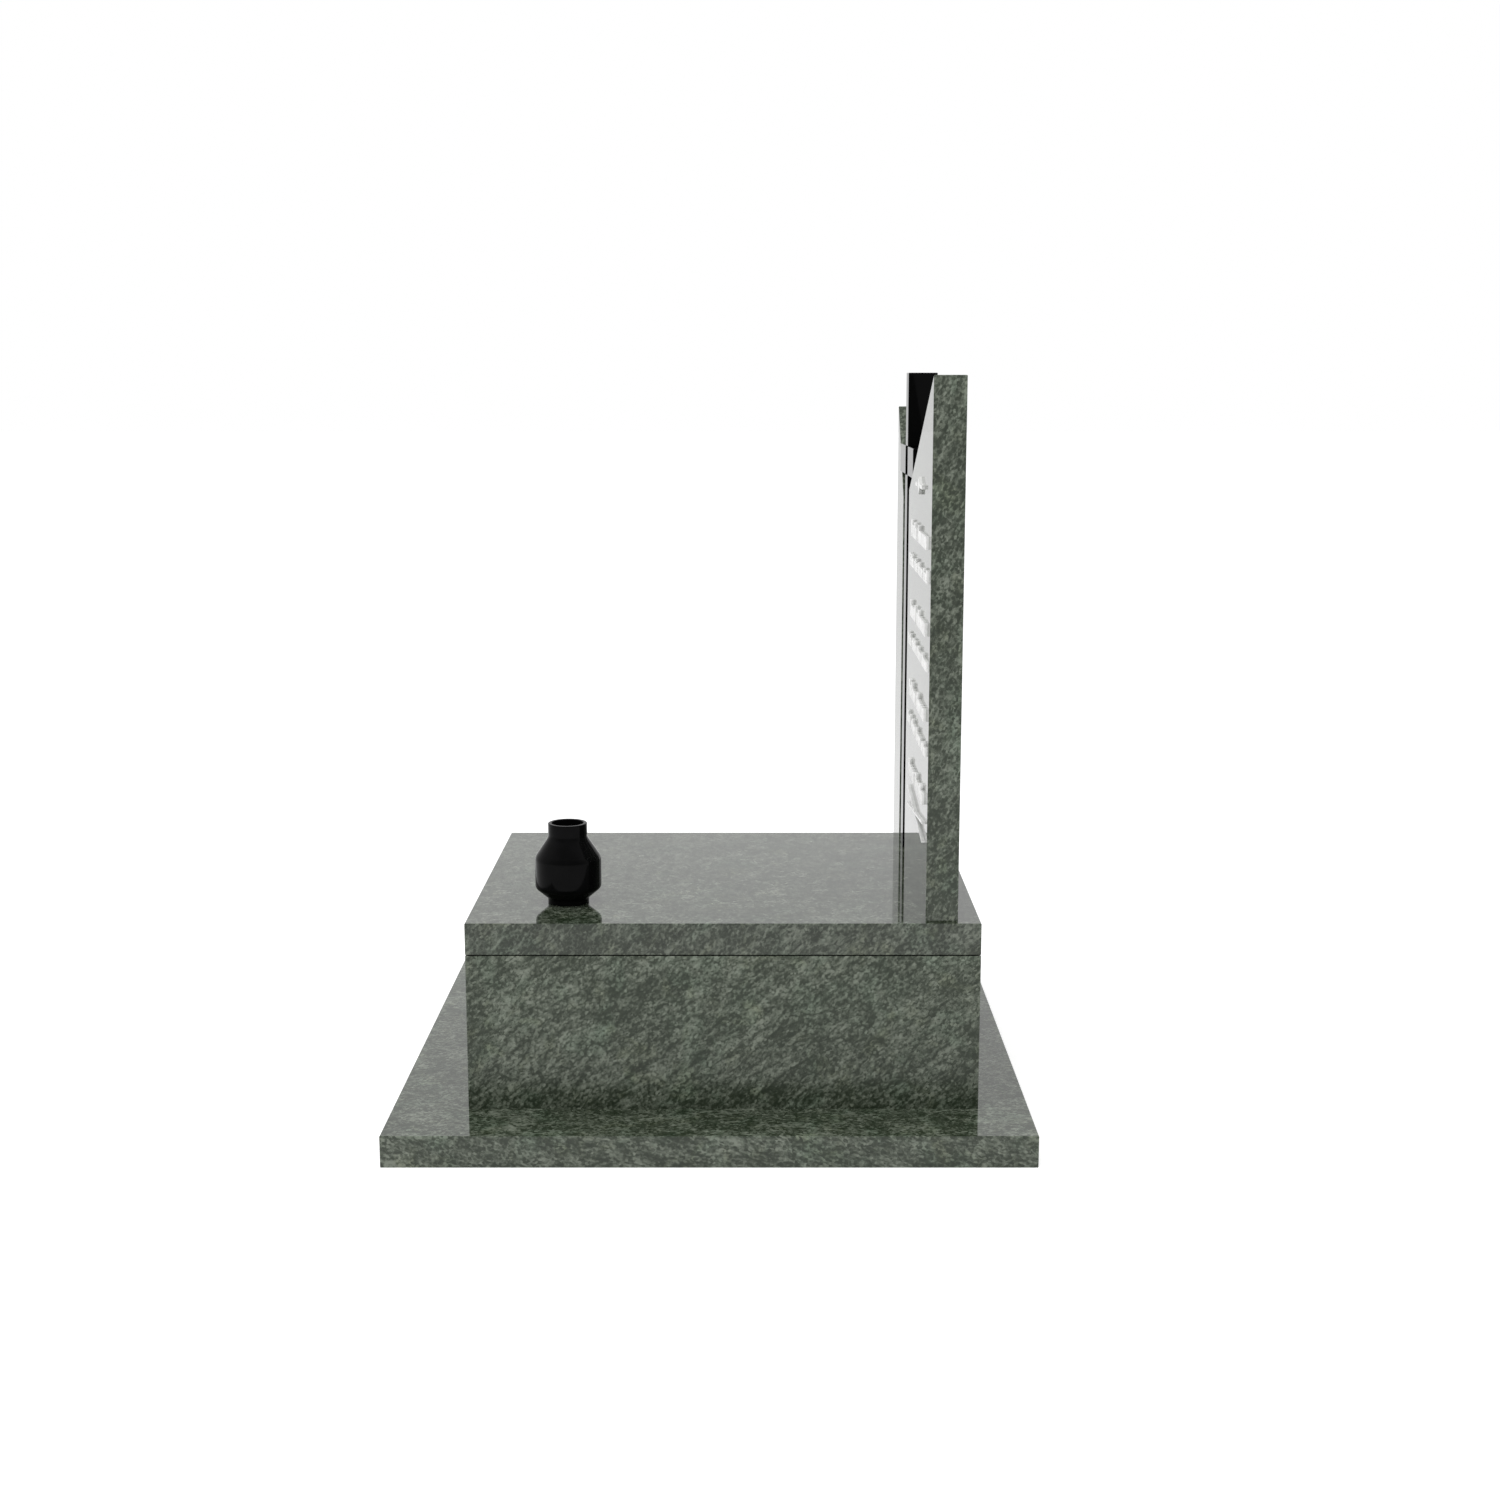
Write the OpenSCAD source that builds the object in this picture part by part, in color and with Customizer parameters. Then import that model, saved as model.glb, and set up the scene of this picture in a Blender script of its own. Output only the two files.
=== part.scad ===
// Urn grave headstone: a base plate, a walled urn chamber with its cover slab,
// two upright steles with sloping tops, and a free black cross standing between them.
// Origin: centre of the base plate's underside. +Z is up, the grave's front faces -Y.

/* [Base plate] */
// Width of the base plate, left to right
base_w = 1000; // [850:10:1300]
// Depth of the base plate, front to back
base_d = 1000; // [930:10:1300]
// Thickness of the base plate
base_t = 50; // [30:1:80]

/* [Urn chamber] */
// Width of the chamber, left to right
chamber_w = 650; // [560:10:680]
// Depth of the chamber, front to back
chamber_d = 800; // [600:10:860]
// Height of the chamber's walls, with the bedding joint on them
chamber_h = 250; // [150:5:400]
// Thickness of the chamber's walls
wall_t = 50; // [30:1:80]
// Distance from the chamber's right side to the base plate's right edge
side_margin = 120; // [60:5:170]
// Distance from the chamber's front to the base plate's front edge
front_margin = 120; // [60:5:140]
// Thickness of the cover slab
cover_t = 50; // [30:1:80]
// Height of the bedding joint between the walls and the cover slab
bed_t = 2; // [1:0.5:5]
// How far the bedding joint lies back from the walls' faces
bed_recess = 4; // [1:0.5:12]

/* [Steles] */
// Thickness of both steles
stele_t = 50; // [30:1:80]
// Distance from the right stele's back to the cover slab's rear edge
stele_back = 36; // [0:1:80]
// Width of the right stele
right_w = 455; // [380:5:470]
// Distance from the right stele to the cover slab's right edge
right_inset = 10; // [0:1:40]
// Height of the right stele at its outer side, above the cover slab
right_outer_h = 835; // [780:5:1100]
// Height of the right stele at its inner side, above the cover slab
right_inner_h = 641; // [540:1:770]
// Width of the left stele
left_w = 150; // [100:5:210]
// Height of the left stele at its outer side, above the cover slab's top
left_outer_h = 778; // [700:2:1000]
// Height of the left stele at its inner side, above the cover slab's top
left_inner_h = 617; // [500:1:660]
// How far the left stele's front lies back from the right stele's
left_setback = 4; // [0:0.5:12]

/* [Cross] */
// Side of the cross's square bars
bar = 50; // [30:1:58]
// Height of the cross, above the cover slab
cross_h = 838; // [780:2:1100]
// Height of the arms' undersides, above the cover slab
arm_z = 662; // [560:1:720]
// How far an arm's end is let into the stele that it rests on
let_in = 6; // [3:1:15]
// How far the middle of the crossing lies back, at the front and at the rear
core_recess = 10; // [2:1:20]
// Clearance past an arm's end where it is let into a stele
seat_clear = 0.5; // [0.2:0.1:2]
// How far the cross's front lies back from the right stele's
cross_setback = 1.5; // [0:0.5:10]

/* [Inscription] */
// How far the inscription stands out from the right stele
relief = 5; // [1:0.5:8]
// Distance from the right stele's middle to the inscription's middle, towards its higher side
inscription_shift = 35; // [-20:1:36]
// Height of the tall marks in the upper line of each pair
upper_mark = 27; // [15:1:35]
// Height of the tall marks in the lower line of each pair
lower_mark = 20; // [12:1:30]
// Height of the first line's foot, above the cover slab's top
first_line_z = 572; // [500:1:600]
// Distance from an upper line's foot down to the foot of the line below it
line_drop = 50; // [38:1:60]
// Distance from one pair of lines to the next
pair_pitch = 133; // [105:1:140]
// Width of one mark and the gap after it, in the upper lines
upper_pitch = 22.5; // [16:0.5:30]
// Width of one mark and the gap after it, in the lower lines
lower_pitch = 16.5; // [12:0.5:22]
// Height of the emblem's middle, above the cover slab's top
emblem_z = 662; // [635:1:690]
// Width of the emblem
emblem_w = 130; // [60:1:200]
// Width of the ornament under the last line
ornament_w = 300; // [120:5:320]

/* [Vase] */
// Radius of the vase's body
vase_r = 53; // [40:0.5:70]
// Radius of the vase's foot
vase_foot_r = 33; // [20:0.5:38]
// Radius of the vase's neck
vase_neck_r = 31.5; // [24:0.5:38]
// Thickness of the vase's wall
vase_wall = 6; // [3:0.5:8]
// Height of the vase's foot
vase_foot_h = 8; // [4:0.5:15]
// Height of the slope from the foot to the body
vase_lower_h = 17; // [8:0.5:30]
// Height of the vase's straight body
vase_body_h = 50; // [30:1:90]
// Height of the shoulder from the body to the neck
vase_shoulder_h = 32; // [15:1:50]
// Height of the vase's neck
vase_neck_h = 23; // [10:1:50]
// Distance from the vase's axis to the cover slab's right edge
vase_side = 138; // [75:1:300]
// Distance from the vase's axis to the cover slab's front edge
vase_front = 150; // [75:1:300]

/* [Edges] */
// Bevel along the edges of the slabs
bevel = 1; // [0.5:0.5:5]
// Bevel along the edges that meet at the bedding joint
bed_bevel = 0.5; // [0.2:0.1:2]
// Bevel along the edges of the cross's bars
bar_bevel = 1; // [0.5:0.5:3]

/* [Hidden] */

green_granite = [0.33, 0.36, 0.33];
black_granite = [0.06, 0.06, 0.06];
pale_metal = [0.86, 0.86, 0.84];
sealant = [0.12, 0.12, 0.12];

// Chamber and cover slab
chamber_right = base_w / 2 - side_margin;
chamber_left = chamber_right - chamber_w;
chamber_front = -base_d / 2 + front_margin;
chamber_rear = chamber_front + chamber_d;
wall_h = chamber_h - bed_t;
cover_z = base_t + chamber_h;
cover_top = cover_z + cover_t;

// Steles
stele_front = chamber_rear - stele_back - stele_t;
right_outer = chamber_right - right_inset;
right_inner = right_outer - right_w;
left_inner = chamber_left;
left_outer = left_inner - left_w;

// Cross: it stands midway between the places where the arms' undersides meet the steles,
// which are on the sloping tops, or at the inner sides where those are higher
arm_foot = cover_top + arm_z;
arm_top = arm_foot + bar;
right_slope = (right_outer_h - right_inner_h) / right_w;
left_slope = (left_outer_h - left_inner_h) / left_w;
right_seat = right_inner + max(0, arm_z - right_inner_h) / right_slope;
left_seat = left_inner - max(0, arm_z - left_inner_h) / left_slope;
cross_x = (right_seat + left_seat) / 2;
cross_front = stele_front + cross_setback;
post_right = cross_x + bar / 2;
post_left = cross_x - bar / 2;
right_arm_end = right_seat + let_in;
left_arm_end = left_seat - let_in;

// Inscription. Each line is a row of equal cells, and a cell holds a mark or a space:
// T is a tall mark, o a low one.
inscription_x = (right_outer + right_inner) / 2 + inscription_shift;
mark_share = 0.76;   // of a cell's width that its mark fills
low_share = 0.72;    // of a tall mark's height that a low one has
lines = ["TooTo Toooooo", "ToToo oToo Toooo TooT", "ToooT oTooooo", "ToTo oToToo Tooo Toooo",
         "ToTooo Tooooo", "TooT oTooo Toooo ooTo", "Toooo ToooTo"];

// Vase
vase_x = chamber_right - vase_side;
vase_y = chamber_front + vase_front;
vase_floor = vase_foot_h + vase_wall;
vase_h = vase_foot_h + vase_lower_h + vase_body_h + vase_shoulder_h + vase_neck_h;

// Rectangle with bevelled corners: top_e is the bevel at the two upper ones, foot_e at the lower
module bevelled_rect(w, h, top_e, foot_e) {
    foot = foot_e > 0 ? [[0, foot_e], [foot_e, 0], [w - foot_e, 0], [w, foot_e]] : [[0, 0], [w, 0]];
    polygon(concat(foot, [[w, h - top_e], [w - top_e, h], [top_e, h], [0, h - top_e]]));
}

// Block between two corners, with bevels on its upright, upper and lower edges;
// a foot_e of 0 leaves the lower edges square
module block(from, to, e, top_e, foot_e) {
    size = to - from;
    translate(from) intersection() {
        linear_extrude(size.z) bevelled_rect(size.x, size.y, e, e);
        translate([0, size.y, 0]) rotate([90, 0, 0])
            linear_extrude(size.y) bevelled_rect(size.x, size.z, top_e, foot_e);
        rotate([90, 0, 90]) linear_extrude(size.x) bevelled_rect(size.y, size.z, top_e, foot_e);
    }
}

// Upright slab of the stele's thickness with a straight sloping top and bevelled edges,
// from x_a to x_b, where its heights over the cover slab are h_a and h_b; front is its front's y
module sloped_slab(x_a, x_b, front, foot_z, h_a, h_b) {
    corners = [[x_a, foot_z - bevel], [x_b, foot_z - bevel],
               [x_b, cover_top + h_b], [x_a, cover_top + h_a]];
    intersection() {
        hull() {
            translate([0, front + stele_t - bevel, 0]) rotate([90, 0, 0])
                linear_extrude(stele_t - 2 * bevel)
                    offset(delta = bevel, chamfer = true) offset(delta = -bevel) polygon(corners);
            translate([0, front + stele_t, 0]) rotate([90, 0, 0])
                linear_extrude(stele_t) offset(delta = -bevel) polygon(corners);
        }
        translate([x_a - 1, front - 1, foot_z])
            cube([x_b - x_a + 2, stele_t + 2, cover_top + max(h_a, h_b)]);
    }
}

// Cut for an arm's end, right through a stele and open upwards;
// its underside is the seat that the arm rests on
module arm_cut(x_a, x_b) {
    translate([x_a, stele_front - 1, arm_foot])
        cube([x_b - x_a, stele_t + left_setback + 2, max(right_outer_h, left_outer_h)]);
}

// Cross bar between two corners, as deep as it is thick
module cross_bar(x_a, x_b, z_a, z_b) {
    color(black_granite)
        block([x_a, cross_front, z_a], [x_b, cross_front + bar, z_b], bar_bevel, bar_bevel, bar_bevel);
}

// Raised plain block on the right stele's front
module raised(x, z, w, h) {
    translate([x, stele_front - relief, z]) cube([w, relief, h]);
}

// Line of raised plain marks, centred on the inscription's middle
module mark_line(line, pitch, mark_h) {
    cells = len(lines[line]);
    start = inscription_x - (cells - 1 + mark_share) * pitch / 2;
    color(pale_metal) for (i = [0:cells - 1]) {
        tall = lines[line][i] == "T";
        if (lines[line][i] != " ")
            raised(start + i * pitch, line_z(line), mark_share * pitch, (tall ? 1 : low_share) * mark_h);
    }
}

// Height of a line's foot: lines come in pairs, one over the other
function line_z(line) = cover_top + first_line_z - floor(line / 2) * pair_pitch - (line % 2) * line_drop;

// Plain lozenge on the right stele's front, from its middle
module lozenge(x, z, w, h) {
    translate([x, stele_front, z]) rotate([90, 0, 0])
        linear_extrude(relief) polygon([[-w / 2, 0], [0, -h / 2], [w / 2, 0], [0, h / 2]]);
}

module base_plate() {
    color(green_granite)
        block([-base_w / 2, -base_d / 2, 0], [base_w / 2, base_d / 2, base_t], bevel, bevel, 0);
}

module side_wall(x_a) {
    color(green_granite)
        block([x_a, chamber_front, base_t], [x_a + wall_t, chamber_rear, base_t + wall_h],
              bevel, bed_bevel, 0);
}

module right_wall() side_wall(chamber_right - wall_t);

module left_wall() side_wall(chamber_left);

module cross_wall(y_a) {
    color(green_granite)
        block([chamber_left + wall_t, y_a, base_t],
              [chamber_right - wall_t, y_a + wall_t, base_t + wall_h], bevel, bed_bevel, 0);
}

module front_wall() cross_wall(chamber_front);

module rear_wall() cross_wall(chamber_rear - wall_t);

module bedding_joint() {
    inner = wall_t - bed_recess;
    color(sealant) translate([0, 0, base_t + wall_h]) linear_extrude(bed_t) difference() {
        translate([chamber_left + bed_recess, chamber_front + bed_recess])
            square([chamber_w - 2 * bed_recess, chamber_d - 2 * bed_recess]);
        translate([chamber_left + inner, chamber_front + inner])
            square([chamber_w - 2 * inner, chamber_d - 2 * inner]);
    }
}

module cover_slab() {
    color(green_granite)
        block([chamber_left, chamber_front, cover_z], [chamber_right, chamber_rear, cover_top],
              bevel, bevel, bed_bevel);
}

module right_stele() {
    color(green_granite) difference() {
        sloped_slab(right_inner, right_outer, stele_front, cover_top, right_inner_h, right_outer_h);
        arm_cut(right_inner - 1, right_arm_end + seat_clear);
    }
}

module left_stele() {
    color(green_granite) difference() {
        sloped_slab(left_outer, left_inner, stele_front + left_setback, base_t,
                    left_outer_h, left_inner_h);
        arm_cut(left_arm_end - seat_clear, left_inner + 1);
    }
}

module lower_post() cross_bar(post_left, post_right, cover_top, arm_foot);

module upper_post() cross_bar(post_left, post_right, arm_top, cover_top + cross_h);

module right_arm() cross_bar(post_right, right_arm_end, arm_foot, arm_top);

module left_arm() cross_bar(left_arm_end, post_left, arm_foot, arm_top);

module cross_core() {
    color(black_granite) translate([post_left, cross_front + core_recess, arm_foot])
        cube([bar, bar - 2 * core_recess, bar]);
}

// Lozenge between two thin bars
module emblem() {
    gem_w = 34;
    gem_h = 28;
    stroke = 6;
    gap = 6;
    side_w = (emblem_w - gem_w) / 2 - gap;
    color(pale_metal) {
        lozenge(inscription_x, cover_top + emblem_z, gem_w, gem_h);
        for (x = [inscription_x - emblem_w / 2, inscription_x + emblem_w / 2 - side_w])
            raised(x, cover_top + emblem_z - stroke / 2, side_w, stroke);
    }
}

module upper_line(line) mark_line(line, upper_pitch, upper_mark);

module lower_line(line) mark_line(line, lower_pitch, lower_mark);

module line_1() upper_line(0);

module line_2() lower_line(1);

module line_3() upper_line(2);

module line_4() lower_line(3);

module line_5() upper_line(4);

module line_6() lower_line(5);

module line_7() upper_line(6);

// Two long thin strokes that cross in the middle
module ornament() {
    stroke = 4;
    rise = 30;
    tilt = atan(rise / ornament_w);
    color(pale_metal) translate([inscription_x, stele_front, line_z(7) + lower_mark / 2]) rotate([90, 0, 0])
        linear_extrude(relief)
            for (a = [-tilt, tilt]) rotate(a) square([ornament_w, stroke], center = true);
}

module vase() {
    z_body = vase_foot_h + vase_lower_h;
    z_shoulder = z_body + vase_body_h;
    z_neck = z_shoulder + vase_shoulder_h;
    color(black_granite) translate([vase_x, vase_y, cover_top]) rotate_extrude($fn = 96)
        polygon([[0, 0], [vase_foot_r, 0], [vase_foot_r, vase_foot_h], [vase_r, z_body],
                 [vase_r, z_shoulder], [vase_neck_r, z_neck], [vase_neck_r, vase_h],
                 [vase_neck_r - vase_wall, vase_h], [vase_neck_r - vase_wall, z_neck],
                 [vase_r - vase_wall, z_shoulder], [vase_r - vase_wall, z_body],
                 [vase_foot_r - vase_wall / 2, vase_floor], [0, vase_floor]]);
}

base_plate();
right_wall();
left_wall();
front_wall();
rear_wall();
bedding_joint();
cover_slab();
right_stele();
left_stele();
lower_post();
upper_post();
right_arm();
left_arm();
cross_core();
emblem();
line_1();
line_2();
line_3();
line_4();
line_5();
line_6();
line_7();
ornament();
vase();
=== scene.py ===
"""The looks of an urn grave headstone: polished green and black granite slabs, raised
metal marks, a glazed vase and the sealed joints, with a plain studio around them."""

import math

import bpy
import numpy as np
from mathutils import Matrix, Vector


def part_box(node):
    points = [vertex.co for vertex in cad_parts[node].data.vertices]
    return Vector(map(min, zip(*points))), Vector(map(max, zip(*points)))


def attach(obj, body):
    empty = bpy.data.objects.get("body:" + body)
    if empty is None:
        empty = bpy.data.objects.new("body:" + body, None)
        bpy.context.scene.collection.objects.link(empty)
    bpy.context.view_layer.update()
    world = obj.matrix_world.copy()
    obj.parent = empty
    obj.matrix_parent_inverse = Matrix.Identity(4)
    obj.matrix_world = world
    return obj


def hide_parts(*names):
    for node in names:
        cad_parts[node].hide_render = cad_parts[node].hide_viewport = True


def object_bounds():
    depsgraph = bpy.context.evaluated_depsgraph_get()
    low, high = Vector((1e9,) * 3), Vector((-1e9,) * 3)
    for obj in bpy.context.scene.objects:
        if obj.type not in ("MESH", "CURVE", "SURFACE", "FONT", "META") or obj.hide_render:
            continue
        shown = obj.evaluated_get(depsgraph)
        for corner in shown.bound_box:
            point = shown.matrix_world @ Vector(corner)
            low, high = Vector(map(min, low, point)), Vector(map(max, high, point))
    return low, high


bl_info = {
    "name": "Urn Grave Headstone",
    "version": (1, 0, 0),
    "blender": (4, 5, 0),
    "location": "3D View > Sidebar > Urn Grave",
    "description": "Finishes and fine pieces of a granite urn grave with steles and a cross",
    "category": "Object",
}

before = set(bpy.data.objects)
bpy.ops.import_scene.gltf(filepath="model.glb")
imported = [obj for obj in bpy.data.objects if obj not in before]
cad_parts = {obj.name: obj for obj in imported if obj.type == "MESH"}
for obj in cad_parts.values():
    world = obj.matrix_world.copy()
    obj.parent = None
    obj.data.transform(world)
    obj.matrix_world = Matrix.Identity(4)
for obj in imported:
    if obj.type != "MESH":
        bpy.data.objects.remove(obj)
CAD_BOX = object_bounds()
MM = 0.001

# Each green slab with the slope of its streaks in degrees, as seen on its side faces, where in
# the rock it was cut from, the roughness and refractive index of its polish, and what the plain
# stone's colour is multiplied by. That multiplier is painted light and shade: it makes the walls,
# base plate and steles paler and the cover darker, for how each is lit
GREEN_SLABS = {
    "base_plate": (-16, 0.3, 0.05, 1.50, 1.07),
    "right_wall": (40, 1.7, 0.26, 1.43, 1.10),
    "left_wall": (-40, 3.1, 0.26, 1.43, 1.10),
    "front_wall": (35, 4.6, 0.26, 1.43, 1.10),
    "rear_wall": (-35, 5.9, 0.26, 1.43, 1.10),
    "cover_slab": (48, 7.4, 0.05, 1.50, 0.88),
    "right_stele": (62, 8.8, 0.05, 1.47, 1.05),
    "left_stele": (55, 10.3, 0.05, 1.47, 1.05),
}
BLACK_BARS = ["lower_post", "upper_post", "right_arm", "left_arm", "cross_core"]
MARK_LINES = ["line_1", "line_2", "line_3", "line_4", "line_5", "line_6", "line_7"]

# How much each size of pattern adds to the green granite's tone, and the tones at which its
# five colours lie, from dark to light
STREAK_WEIGHT = 0.56
FLECK_WEIGHT = 0.90
GRAIN_WEIGHT = 0.66
CRYSTAL_WEIGHT = 0.30
CLOUD_WEIGHT = 0.12
TONE_PLACES = (0.22, 0.40, 0.50, 0.60, 0.80)

# How far the pattern is drawn out along X, Y and Z: a low number draws it out more
STREAK_STRETCH = (0.7, 0.38, 1.0)
GRAIN_STRETCH = (1.0, 0.75, 1.0)
EVEN = (1.0, 1.0, 1.0)

# Soft tints of the green granite: what they multiply the colour by, the noise values where a
# patch starts and is full, how strong it is there, and the size and form of the patches
BLUE_GREEN = ((0.82, 1.12, 0.98), 0.50, 0.72, 0.35, (0.07, 3, 0.6, 0.4))
OLIVE = ((1.10, 1.08, 0.72), 0.56, 0.75, 0.30, (0.045, 2, 0.5, 0.6))
CLOUD_SIZE = 0.16

# The vase in millimetres: the heights of its underside, the foot's top, the belly's low and high
# edge, the neck's foot and the lip; how its corners are rounded, up the outside and down the
# inside; its wall; and how far the hollow's corners lie from the outside's at the shoulder, at
# the belly's low edge and at the foot's top
VASE_HEIGHTS = (0, 8, 25, 75, 107, 130)
VASE_RADII = (1.2, 2.5, 5, 6, 5, 1.5, 1.5, 4, 5, 5)
VASE_WALL = 6
SHOULDER_DROP = 2
BELLY_RISE = 3
FLOOR_RISE = 4

# The radius of the vase's foot and neck, as a share of its belly's
FOOT_SHARE = 0.62
NECK_SHARE = 0.59

# What polished faces mirror: the pale studio, and its shaded side towards +X
PALE_SIDE = (0.92, 0.92, 0.92)
SHADED_SIDE = (0.40, 0.40, 0.40)

# The floor: its colour, how far it reaches from the middle, and the share of its lift that
# polished faces mirror
FLOOR_COLOUR = (0.92, 0.92, 0.92, 1)
FLOOR_REACH = 40
MIRRORED_LIFT = 0.5

# The lamp in metres, and the camera's lens and sensor in millimetres
LAMP_PLACE = (1.3, -0.6, 4.2)
LAMP_TURN = (math.radians(20), 0, math.radians(54))
LAMP_SIZE = 3.0
LENS = 50
SENSOR = 36
WHITE = (1, 1, 1, 1)


# ---------------------------------------------------------------- settings


class GreenStoneSettings(bpy.types.PropertyGroup):
    """Colours and grain of the green granite."""

    dark: bpy.props.FloatVectorProperty(
        name="Dark grains", description="Colour of the darkest grains", subtype="COLOR",
        size=3, min=0, max=1, default=(0.014, 0.022, 0.011))
    shade: bpy.props.FloatVectorProperty(
        name="Shade", description="Colour between the ground and the darkest grains",
        subtype="COLOR", size=3, min=0, max=1, default=(0.025, 0.034, 0.020))
    middle: bpy.props.FloatVectorProperty(
        name="Ground", description="Colour of most of the stone", subtype="COLOR",
        size=3, min=0, max=1, default=(0.053, 0.065, 0.046))
    bright: bpy.props.FloatVectorProperty(
        name="Bright", description="Colour between the ground and the lightest grains",
        subtype="COLOR", size=3, min=0, max=1, default=(0.086, 0.102, 0.075))
    light: bpy.props.FloatVectorProperty(
        name="Light grains", description="Colour of the lightest grains", subtype="COLOR",
        size=3, min=0, max=1, default=(0.170, 0.190, 0.152))
    grain: bpy.props.FloatProperty(
        name="Grain size", description="Size of one grain", unit="LENGTH",
        min=0.001, max=0.02, default=0.0052)
    fleck: bpy.props.FloatProperty(
        name="Fleck size", description="Thickness of one cluster of grains", unit="LENGTH",
        min=0.002, max=0.05, default=0.0105)
    streak: bpy.props.FloatProperty(
        name="Streak size", description="Thickness of one streak of grains", unit="LENGTH",
        min=0.005, max=0.2, default=0.032)
    crystal: bpy.props.FloatProperty(
        name="Crystal size", description="Width of one crystal", unit="LENGTH",
        min=0.001, max=0.02, default=0.0036)


class BlackStoneSettings(bpy.types.PropertyGroup):
    """Colours of the black granite and of the vase's glaze."""

    ground: bpy.props.FloatVectorProperty(
        name="Ground", description="Colour of the black granite", subtype="COLOR",
        size=3, min=0, max=1, default=(0.0020, 0.0020, 0.0021))
    fleck: bpy.props.FloatVectorProperty(
        name="Flecks", description="Colour of its fine flecks", subtype="COLOR",
        size=3, min=0, max=1, default=(0.012, 0.012, 0.013))
    glaze: bpy.props.FloatVectorProperty(
        name="Glaze", description="Colour of the vase's glaze", subtype="COLOR",
        size=3, min=0, max=1, default=(0.0016, 0.0016, 0.0017))
    polish: bpy.props.FloatProperty(
        name="Polish", description="Roughness that the polish leaves", min=0, max=1, default=0.04)


class TrimSettings(bpy.types.PropertyGroup):
    """Sizes and colours of the raised marks and the sealed joint."""

    metal: bpy.props.FloatVectorProperty(
        name="Metal", description="Colour of the raised marks", subtype="COLOR",
        size=3, min=0, max=1, default=(0.92, 0.92, 0.91))
    ease: bpy.props.FloatProperty(
        name="Eased edge", description="Radius along the marks' front edges", unit="LENGTH",
        min=0.0002, max=0.002, default=0.0009)
    sealant: bpy.props.FloatVectorProperty(
        name="Sealant", description="Colour of the sealant", subtype="COLOR",
        size=3, min=0, max=1, default=(0.014, 0.015, 0.014))


class StudioSettings(bpy.types.PropertyGroup):
    """Camera, light and background."""

    distance: bpy.props.FloatProperty(
        name="Camera distance", description="From the base plate's right edge to the camera",
        unit="LENGTH", min=1, max=10, default=3.0)
    height: bpy.props.FloatProperty(
        name="Camera height", description="Height of the camera over the ground",
        unit="LENGTH", min=0.2, max=4, default=1.186)
    shift_back: bpy.props.FloatProperty(
        name="Camera place", description="How far the camera stands towards the grave's rear",
        unit="LENGTH", min=-1, max=1, default=0.0618)
    tilt: bpy.props.FloatProperty(
        name="Camera tilt", description="How far the camera looks down", subtype="ANGLE",
        min=0, max=1.5, default=math.radians(10.234))
    sky: bpy.props.FloatProperty(
        name="Sky light", description="Strength of the even light all round",
        min=0, max=2, default=0.82)
    key: bpy.props.FloatProperty(
        name="Main lamp", description="Power of the large lamp", unit="POWER",
        min=0, max=500, default=80)
    floor_lift: bpy.props.FloatProperty(
        name="Floor lift", description="How much paler than lit the floor shows",
        min=0, max=1, default=0.4)


# ---------------------------------------------------------------- material helpers


def new_material(name, roughness, ior, **sockets):
    """A material with one principled shader, its constants set on the shader's own sockets."""
    material = bpy.data.materials.new(name)
    material.use_nodes = True
    shader = material.node_tree.nodes["Principled BSDF"]
    shader.inputs["Roughness"].default_value = roughness
    shader.inputs["IOR"].default_value = ior
    for socket, value in sockets.items():
        shader.inputs[socket.replace("_", " ")].default_value = value
    return material, material.node_tree, shader


def add(tree, kind, **values):
    """A node of that kind with its settings, or its inputs by their names, filled in."""
    node = tree.nodes.new(kind)
    for key, value in values.items():
        if key.startswith("in_"):
            node.inputs[key[3:].replace("_", " ")].default_value = value
        else:
            setattr(node, key, value)
    return node


def ramp(tree, source, stops):
    """Colour ramp fed by source; stops are (place, colour) pairs in order."""
    node = add(tree, "ShaderNodeValToRGB")
    elements = node.color_ramp.elements
    while len(elements) < len(stops):
        elements.new(0.5)
    for element, (place, colour) in zip(elements, stops):
        element.position = place
        element.color = (*colour, 1) if len(colour) == 3 else colour
    tree.links.new(source, node.inputs["Fac"])
    return node.outputs["Color"]


def noise(tree, vector, size, detail=3.0, roughness=0.55, distortion=0.0):
    """Noise whose features are about size metres across."""
    node = add(tree, "ShaderNodeTexNoise", in_Scale=1 / size, in_Detail=detail,
               in_Roughness=roughness, in_Distortion=distortion)
    tree.links.new(vector, node.inputs["Vector"])
    return node.outputs["Fac"]


def maths(tree, operation, a, b):
    """One arithmetic step on two values, each a socket or a number."""
    node = add(tree, "ShaderNodeMath", operation=operation)
    for socket, value in zip(node.inputs, (a, b)):
        if isinstance(value, (int, float)):
            socket.default_value = value
        else:
            tree.links.new(value, socket)
    return node.outputs["Value"]


def weighted(tree, parts):
    """Half, plus each value's distance from a half times its weight."""
    total = 0.5
    for value, weight in parts:
        apart = maths(tree, "SUBTRACT", value, 0.5)
        total = maths(tree, "ADD", total, maths(tree, "MULTIPLY", apart, weight))
    return total


def mixed(tree, factor, a, b, blend="MIX"):
    """Two colours mixed by factor."""
    node = add(tree, "ShaderNodeMix", data_type="RGBA", blend_type=blend)
    for place, value in ((0, factor), (6, a), (7, b)):
        if isinstance(value, bpy.types.NodeSocket):
            tree.links.new(value, node.inputs[place])
        elif place == 0:
            node.inputs[place].default_value = value
        else:
            node.inputs[place].default_value = (*value, 1)
    return node.outputs[2]


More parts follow.
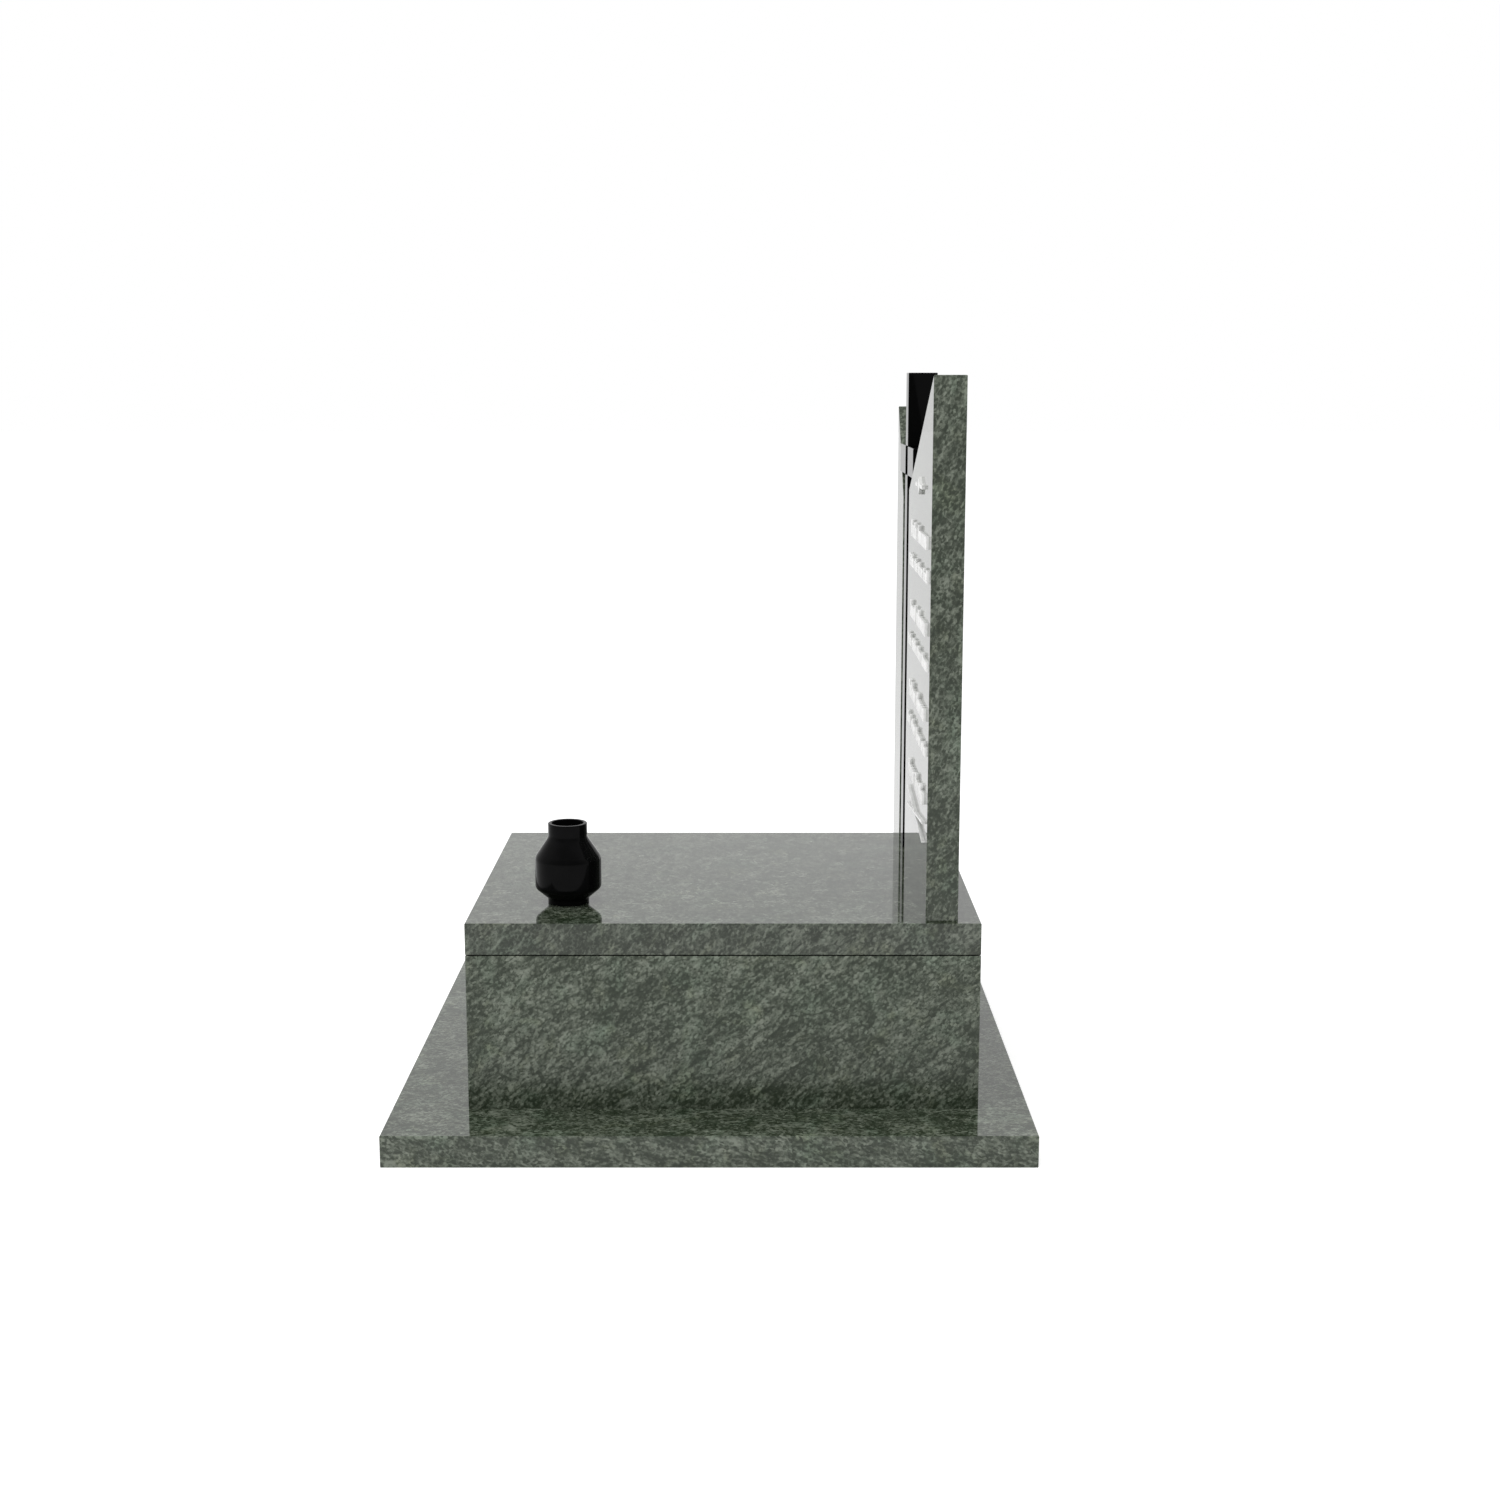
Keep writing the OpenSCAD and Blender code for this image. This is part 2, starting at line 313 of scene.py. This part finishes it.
def object_vector(tree, turn, offset, stretch):
    """Object coordinates turned about X, moved to a place in the rock, and stretched."""
    place = add(tree, "ShaderNodeTexCoord").outputs["Object"]
    moved = (offset, offset * 0.7, offset * 1.3)
    for settings in ({"in_Rotation": (-turn, 0, 0), "in_Location": moved}, {"in_Scale": stretch}):
        mapping = add(tree, "ShaderNodeMapping", **settings)
        tree.links.new(place, mapping.inputs["Vector"])
        place = mapping.outputs["Vector"]
    return place


# ---------------------------------------------------------------- materials


def crystals(tree, vector, size):
    """One random value for each crystal, of cells about size metres across."""
    cells = add(tree, "ShaderNodeTexVoronoi", in_Scale=1 / size)
    tree.links.new(vector, cells.inputs["Vector"])
    parts = add(tree, "ShaderNodeSeparateColor")
    tree.links.new(cells.outputs["Color"], parts.inputs["Color"])
    return parts.outputs["Red"]


def tinted(tree, stone, vector, tint):
    """The stone's colour with soft patches of a tint, which is BLUE_GREEN or OLIVE."""
    factors, start, full, strength, form = tint
    amount = ramp(tree, noise(tree, vector, *form), [(start, (0, 0, 0)), (full, (strength,) * 3)])
    return mixed(tree, amount, stone, mixed(tree, 1.0, stone, factors, "MULTIPLY"))


def green_granite(name, slope, place, roughness, ior, factor, s):
    """Polished green granite: crystals and grains a few millimetres long, gathered in streaks
    that run at the given slope, under broad clouds, with olive and blue-green patches."""
    material, tree, shader = new_material(name, roughness, ior)
    turn = math.radians(slope)
    streaky = object_vector(tree, turn, place, STREAK_STRETCH)
    grainy = object_vector(tree, turn, place + 0.5, GRAIN_STRETCH)
    even = object_vector(tree, 0, place + 0.9, EVEN)
    streaks = noise(tree, streaky, s.streak, detail=4, roughness=0.6, distortion=0.8)
    flecks = noise(tree, streaky, s.fleck, detail=4, roughness=0.6, distortion=1.0)
    grains = noise(tree, grainy, s.grain, detail=4, roughness=0.65, distortion=0.9)
    clouds = noise(tree, even, CLOUD_SIZE, detail=2, roughness=0.5)
    tone = weighted(tree, [
        (streaks, STREAK_WEIGHT), (flecks, FLECK_WEIGHT), (grains, GRAIN_WEIGHT),
        (crystals(tree, grainy, s.crystal), CRYSTAL_WEIGHT), (clouds, CLOUD_WEIGHT)])
    colours = (s.dark, s.shade, s.middle, s.bright, s.light)
    stone = ramp(tree, tone, list(zip(TONE_PLACES, colours)))
    stone = tinted(tree, stone, even, BLUE_GREEN)
    stone = tinted(tree, stone, even, OLIVE)
    # Painted light and shade: the slab's colour is made paler or darker by its factor, for how that
    # slab is lit
    stone = mixed(tree, 1.0, stone, (factor, factor, factor), "MULTIPLY")
    tree.links.new(stone, shader.inputs["Base Color"])
    return material


def black_granite(s):
    """Polished black granite with fine, barely paler flecks."""
    material, tree, shader = new_material("black_granite", s.polish, ior=1.12)
    vector = object_vector(tree, 0, 0, EVEN)
    grain = noise(tree, vector, size=0.0016, detail=2, roughness=0.6)
    colour = ramp(tree, grain, [(0.50, s.ground), (0.68, s.ground), (0.76, s.fleck)])
    tree.links.new(colour, shader.inputs["Base Color"])
    return material


def glaze(s):
    """Black glaze with the soft unevenness of a glazed pot."""
    material, tree, shader = new_material("black_glaze", roughness=0.10, ior=1.14)
    vector = object_vector(tree, 0, 0, EVEN)
    tone = noise(tree, vector, size=0.03, detail=2, roughness=0.5)
    colour = ramp(tree, tone, [(0.35, s.glaze), (0.7, np.array(s.glaze) * 1.8)])
    tree.links.new(colour, shader.inputs["Base Color"])
    bump = add(tree, "ShaderNodeBump", in_Strength=0.12, in_Distance=0.4 * MM)
    uneven = noise(tree, vector, size=0.012, detail=1, roughness=0.5)
    tree.links.new(uneven, bump.inputs["Height"])
    tree.links.new(bump.outputs["Normal"], shader.inputs["Normal"])
    return material


def raised_metal(s):
    """Pale satin metal with a fine upright brush and slight tarnish."""
    material, tree, shader = new_material("raised_metal", roughness=0.28, ior=1.5, Metallic=0.3)
    upright = object_vector(tree, 0, 0, (1, 1, 0.04))
    brush = noise(tree, upright, size=0.0006, detail=2, roughness=0.5)
    even = object_vector(tree, 0, 0, EVEN)
    tarnish = noise(tree, even, size=0.02, detail=3, roughness=0.6)
    metal = np.array(s.metal)
    colour = ramp(tree, tarnish, [(0.3, metal * 0.86), (0.6, metal * 1.06)])
    tree.links.new(colour, shader.inputs["Base Color"])
    brushed = ramp(tree, brush, [(0.3, (0.25,) * 3), (0.7, (0.38,) * 3)])
    tree.links.new(brushed, shader.inputs["Roughness"])
    return material


def sealant(s):
    """Matt dark sealant with a faint ripple."""
    material, tree, shader = new_material("joint_sealant", roughness=0.6, ior=1.4)
    vector = object_vector(tree, 0, 0, EVEN)
    tone = noise(tree, vector, size=0.006, detail=3, roughness=0.6)
    ground = np.array(s.sealant)
    colour = ramp(tree, tone, [(0.3, ground * 0.7), (0.7, ground * 1.4)])
    tree.links.new(colour, shader.inputs["Base Color"])
    return material


def dress(node, material):
    """Gives a carried-over CAD node its material."""
    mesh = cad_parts[node].data
    mesh.materials.clear()
    mesh.materials.append(material)


# ---------------------------------------------------------------- surfaces


def make_piece(name, points, faces, material):
    """Mesh object at the origin that rides on the monument, smooth where its faces meet softly."""
    mesh = bpy.data.meshes.new(name)
    mesh.from_pydata(points.tolist(), [], faces)
    mesh.validate()
    mesh.materials.append(material)
    piece = bpy.data.objects.new(name, mesh)
    bpy.context.scene.collection.objects.link(piece)
    mesh.polygons.foreach_set("use_smooth", np.ones(len(mesh.polygons), bool))
    mesh.set_sharp_from_angle(angle=math.radians(40))
    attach(piece, "root")
    return piece


def ring_faces(rows, columns):
    """Quads between rows of columns points each, where every row is a closed ring."""
    row = np.arange(rows - 1)[:, None] * columns
    here = np.arange(columns)[None, :]
    after = (here + 1) % columns
    quads = np.stack([row + here, row + after, row + columns + after, row + columns + here], -1)
    return quads.reshape(-1, 4).tolist()


def rounded_profile(corners, radii, steps=8):
    """Open polyline whose inner corners are rounded by arcs. Each arc is the quadratic curve
    (1-t)^2 a + 2t(1-t) c + t^2 b, from a to b on the two sides at one radius from corner c."""
    corners = np.asarray(corners, float)
    t = np.linspace(0, 1, steps)[:, None]
    runs = [corners[:1]]
    for before, corner, after, radius in zip(corners, corners[1:], corners[2:], radii):
        a = corner + (before - corner) / np.linalg.norm(before - corner) * radius
        b = corner + (after - corner) / np.linalg.norm(after - corner) * radius
        runs.append((1 - t) ** 2 * a + 2 * t * (1 - t) * corner + t ** 2 * b)
    return np.concatenate(runs + [corners[-1:]])


def turned(name, profile, centre, material, sides=128):
    """Surface of revolution: a point at angle u on profile point (r, z) is
    (r cos u, r sin u, z), moved to the centre. Both ends lie on the axis and are closed by fans."""
    u = np.linspace(0, 2 * math.pi, sides, endpoint=False)
    r, z = profile[1:-1, 0][:, None], profile[1:-1, 1][:, None]
    rings = np.stack([r * np.cos(u), r * np.sin(u), z + 0 * u], -1).reshape(-1, 3)
    ends = np.array([[0, 0, profile[0, 1]], [0, 0, profile[-1, 1]]])
    points = np.concatenate([rings, ends]) + np.array(centre)
    rows = len(profile) - 2
    first, last = len(rings), len(rings) + 1
    here = np.arange(sides)
    after = (here + 1) % sides
    top = (rows - 1) * sides
    fans = np.stack([after, here, np.full(sides, first)], -1).tolist()
    fans += np.stack([top + here, top + after, np.full(sides, last)], -1).tolist()
    return make_piece(name, points, ring_faces(rows, sides) + fans, material)


def eased_rectangles(low, high, ease, steps=4):
    """Points of eased plates, one for each row of low and high, which are (x, z) corners.
    Ring j of a plate is its outline drawn in by e_j: the rings run from the back, where e is 0,
    to the front along a quarter circle, e = ease (1 - cos a) at depth ease (1 - sin a)."""
    a = np.linspace(0, math.pi / 2, steps)
    drawn_in = np.concatenate([[0], ease * (1 - np.cos(a))])
    behind_front = np.concatenate([[1], ease * (1 - np.sin(a))])
    corner = np.array([[0, 0], [1, 0], [1, 1], [0, 1]])
    size = (high - low)[:, None, None, :]
    outline = low[:, None, None, :] + corner * size
    inward = (1 - 2 * corner) * drawn_in[None, :, None, None]
    return outline + inward, behind_front


def raised_plates(name, low, high, back, front, material, ease):
    """Plates with eased front edges, one for each row of low and high, joined in one mesh."""
    flat, behind = eased_rectangles(low, high, ease)
    count, rings = flat.shape[0], flat.shape[1]
    depth = np.where(behind >= 1, back, front + behind)[None, :, None, None]
    depth = np.broadcast_to(depth, flat.shape[:3] + (1,))
    points = np.concatenate([flat[..., :1], depth, flat[..., 1:]], -1).reshape(-1, 3)
    one = np.array(ring_faces(rings, 4))
    caps = np.array([[3, 2, 1, 0], [0, 1, 2, 3] + np.array(4 * (rings - 1))])
    plate = np.concatenate([one, caps])
    faces = (plate[None] + (np.arange(count) * rings * 4)[:, None, None]).reshape(-1, 4).tolist()
    return make_piece(name, points, faces, material)


def node_points(node):
    """The corner points of a CAD node as an array."""
    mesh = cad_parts[node].data
    points = np.zeros(len(mesh.vertices) * 3)
    mesh.vertices.foreach_get("co", points)
    return points.reshape(-1, 3)


def mark_outlines(node):
    """Lowest and highest (x, z) corner of each mark of a line. A line's marks stand side by side,
    so its sorted x values are the marks' left and right sides in turn."""
    points = node_points(node).round(5)
    sides = np.unique(points[:, 0]).reshape(-1, 2)
    foot = points[:, 2].min()
    tops = np.array([points[points[:, 0] == left, 2].max() for left in sides[:, 0]])
    low = np.stack([sides[:, 0], np.full(len(sides), foot)], -1)
    return low, np.stack([sides[:, 1], tops], -1)


# ---------------------------------------------------------------- studio


def pale_floor(height, lift):
    """A wide flat floor, which shows paler than it is lit and is mirrored a little paler."""
    mesh = bpy.data.meshes.new("floor")
    far = FLOOR_REACH
    corners = [(-far, -far, height), (far, -far, height), (far, far, height), (-far, far, height)]
    mesh.from_pydata(corners, [], [(0, 1, 2, 3)])
    material, tree, shader = new_material("pale_floor", roughness=0.9, ior=1.45)
    shader.inputs["Base Color"].default_value = FLOOR_COLOUR
    shader.inputs["Emission Color"].default_value = WHITE
    rays = add(tree, "ShaderNodeLightPath")
    mirrored = maths(tree, "MULTIPLY", rays.outputs["Is Glossy Ray"], MIRRORED_LIFT)
    seen = maths(tree, "MAXIMUM", rays.outputs["Is Camera Ray"], mirrored)
    tree.links.new(maths(tree, "MULTIPLY", seen, lift), shader.inputs["Emission Strength"])
    mesh.materials.append(material)
    return bpy.data.objects.new("floor", mesh)


def studio_world(sky):
    """White to the camera, even light to the stone, and in what polished faces mirror a shaded
    side over the horizon at +X, which draws the rounded edges."""
    world = bpy.data.worlds.new("studio")
    world.use_nodes = True
    tree = world.node_tree
    tree.nodes.clear()
    place = add(tree, "ShaderNodeTexCoord").outputs["Generated"]
    apart = add(tree, "ShaderNodeSeparateXYZ")
    tree.links.new(place, apart.inputs["Vector"])
    across = maths(tree, "ADD", maths(tree, "MULTIPLY", apart.outputs["X"], 0.5), 0.5)
    sideways = ramp(tree, across, [(0.60, PALE_SIDE), (0.85, SHADED_SIDE)])
    over = ramp(tree, apart.outputs["Z"], [(0.0, (0, 0, 0)), (0.08, (1, 1, 1))])
    mirrored = mixed(tree, over, PALE_SIDE, sideways)

    rays = add(tree, "ShaderNodeLightPath")
    even = add(tree, "ShaderNodeBackground", in_Color=WHITE, in_Strength=sky)
    shown = add(tree, "ShaderNodeBackground", in_Strength=1)
    shown_colour = mixed(tree, rays.outputs["Is Camera Ray"], mirrored, WHITE[:3])
    tree.links.new(shown_colour, shown.inputs["Color"])
    seen = maths(tree, "MAXIMUM", rays.outputs["Is Camera Ray"], rays.outputs["Is Glossy Ray"])
    seen = maths(tree, "MAXIMUM", seen, rays.outputs["Is Transmission Ray"])
    mix = add(tree, "ShaderNodeMixShader")
    tree.links.new(seen, mix.inputs[0])
    tree.links.new(even.outputs[0], mix.inputs[1])
    tree.links.new(shown.outputs[0], mix.inputs[2])
    tree.links.new(mix.outputs[0], add(tree, "ShaderNodeOutputWorld").inputs["Surface"])
    return world


def main_lamp(power):
    """A large soft lamp over the front right, which isn't mirrored."""
    lamp = bpy.data.lights.new("main_lamp", "AREA")
    lamp.energy, lamp.size = power, LAMP_SIZE
    lamp_object = bpy.data.objects.new("main_lamp", lamp)
    lamp_object.location = LAMP_PLACE
    lamp_object.rotation_euler = LAMP_TURN
    lamp_object.visible_glossy = False
    return lamp_object


# ---------------------------------------------------------------- operators


class URNGRAVE_OT_green_slabs(bpy.types.Operator):
    """Polish the base plate, chamber walls, cover and steles in green granite"""
    bl_idname = "urngrave.green_slabs"
    bl_label = "Green granite slabs"

    def execute(self, context):
        s = context.scene.urngrave_green
        for node, cut in GREEN_SLABS.items():
            dress(node, green_granite("green_granite_" + node, *cut, s))
        return {"FINISHED"}


class URNGRAVE_OT_cross(bpy.types.Operator):
    """Polish the four bars of the cross and its core in black granite"""
    bl_idname = "urngrave.cross"
    bl_label = "Black granite cross"

    def execute(self, context):
        material = black_granite(context.scene.urngrave_black)
        for node in BLACK_BARS:
            dress(node, material)
        return {"FINISHED"}


class URNGRAVE_OT_vase(bpy.types.Operator):
    """Turn the glazed vase, with soft shoulders, a rounded lip and a deep hollow"""
    bl_idname = "urngrave.vase"
    bl_label = "Glazed vase"

    def execute(self, context):
        low, high = (np.array(corner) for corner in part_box("vase"))
        centre = (low + high) / 2
        body = (high[0] - low[0]) / 2
        foot, neck, wall = body * FOOT_SHARE, body * NECK_SHARE, VASE_WALL * MM
        under, foot_top, belly_low, belly_high, shoulder, lip = (
            low[2] + np.array(VASE_HEIGHTS) * MM)
        outside = [
            (0, under), (foot, under), (foot, foot_top), (body, belly_low), (body, belly_high),
            (neck, shoulder), (neck, lip)]
        inside = [
            (neck - wall, lip), (neck - wall, shoulder - SHOULDER_DROP * MM),
            (body - wall, belly_high - SHOULDER_DROP * MM),
            (body - wall, belly_low + BELLY_RISE * MM), (0, foot_top + FLOOR_RISE * MM)]
        profile = rounded_profile(outside + inside, np.array(VASE_RADII) * MM)
        piece = turned("glazed_vase", profile, (centre[0], centre[1], 0),
                       glaze(context.scene.urngrave_black))
        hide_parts("vase")
        return {"FINISHED"}


class URNGRAVE_OT_marks(bpy.types.Operator):
    """Cast the raised marks with eased edges, and finish the emblem and the ornament"""
    bl_idname = "urngrave.marks"
    bl_label = "Raised marks"

    def execute(self, context):
        s = context.scene.urngrave_trim
        metal = raised_metal(s)
        for node in MARK_LINES:
            low, high = mark_outlines(node)
            depths = node_points(node)[:, 1]
            cast = raised_plates(
                node + "_cast", low, high, depths.max(), depths.min(), metal, s.ease)
            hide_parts(node)
        dress("emblem", metal)
        dress("ornament", metal)
        return {"FINISHED"}


class URNGRAVE_OT_joint(bpy.types.Operator):
    """Fill the joint under the cover with dark sealant"""
    bl_idname = "urngrave.joint"
    bl_label = "Sealed joint"

    def execute(self, context):
        dress("bedding_joint", sealant(context.scene.urngrave_trim))
        return {"FINISHED"}


class URNGRAVE_OT_stage(bpy.types.Operator):
    """Set the pale floor, the soft light and the camera"""
    bl_idname = "urngrave.stage"
    bl_label = "Studio"

    def execute(self, context):
        scene, s = context.scene, context.scene.urngrave_studio
        low, high = CAD_BOX
        floor = pale_floor(low[2], s.floor_lift)
        scene.collection.objects.link(floor)
        scene.world = studio_world(s.sky)
        scene.collection.objects.link(main_lamp(s.key))
        camera = bpy.data.cameras.new("camera")
        camera.lens, camera.sensor_width = LENS, SENSOR
        camera_object = bpy.data.objects.new("camera", camera)
        camera_object.location = (high[0] + s.distance, s.shift_back, low[2] + s.height)
        camera_object.rotation_euler = (math.pi / 2 - s.tilt, 0, math.pi / 2)
        scene.collection.objects.link(camera_object)
        scene.camera = camera_object
        scene.view_settings.view_transform = "Standard"
        return {"FINISHED"}


class URNGRAVE_PT_panel(bpy.types.Panel):
    """Urn grave pieces and their settings"""
    bl_idname = "URNGRAVE_PT_panel"
    bl_label = "Urn Grave"
    bl_space_type = "VIEW_3D"
    bl_region_type = "UI"
    bl_category = "Urn Grave"

    def draw(self, context):
        for settings, names in PANEL_ROWS:
            box = self.layout.box()
            group = getattr(context.scene, settings)
            for name in group.__annotations__:
                box.prop(group, name)
            for name in names:
                box.operator(name)


PANEL_ROWS = [
    ("urngrave_green", ["urngrave.green_slabs"]),
    ("urngrave_black", ["urngrave.cross", "urngrave.vase"]),
    ("urngrave_trim", ["urngrave.marks", "urngrave.joint"]),
    ("urngrave_studio", ["urngrave.stage"]),
]
SETTINGS = {
    "urngrave_green": GreenStoneSettings,
    "urngrave_black": BlackStoneSettings,
    "urngrave_trim": TrimSettings,
    "urngrave_studio": StudioSettings,
}
CLASSES = [
    GreenStoneSettings, BlackStoneSettings, TrimSettings, StudioSettings,
    URNGRAVE_OT_green_slabs, URNGRAVE_OT_cross, URNGRAVE_OT_vase, URNGRAVE_OT_marks,
    URNGRAVE_OT_joint, URNGRAVE_OT_stage, URNGRAVE_PT_panel,
]


def register():
    """Make the classes and the settings known to Blender."""
    for item in CLASSES:
        bpy.utils.register_class(item)
    for name, group in SETTINGS.items():
        setattr(bpy.types.Scene, name, bpy.props.PointerProperty(type=group))


def unregister():
    """Take the settings and the classes out again."""
    for name in SETTINGS:
        delattr(bpy.types.Scene, name)
    for item in reversed(CLASSES):
        bpy.utils.unregister_class(item)


def main():
    """Build every piece and the stage."""
    register()
    bpy.ops.urngrave.stage()
    bpy.ops.urngrave.green_slabs()
    bpy.ops.urngrave.cross()
    bpy.ops.urngrave.vase()
    bpy.ops.urngrave.marks()
    bpy.ops.urngrave.joint()


if __name__ == "__main__":
    main()
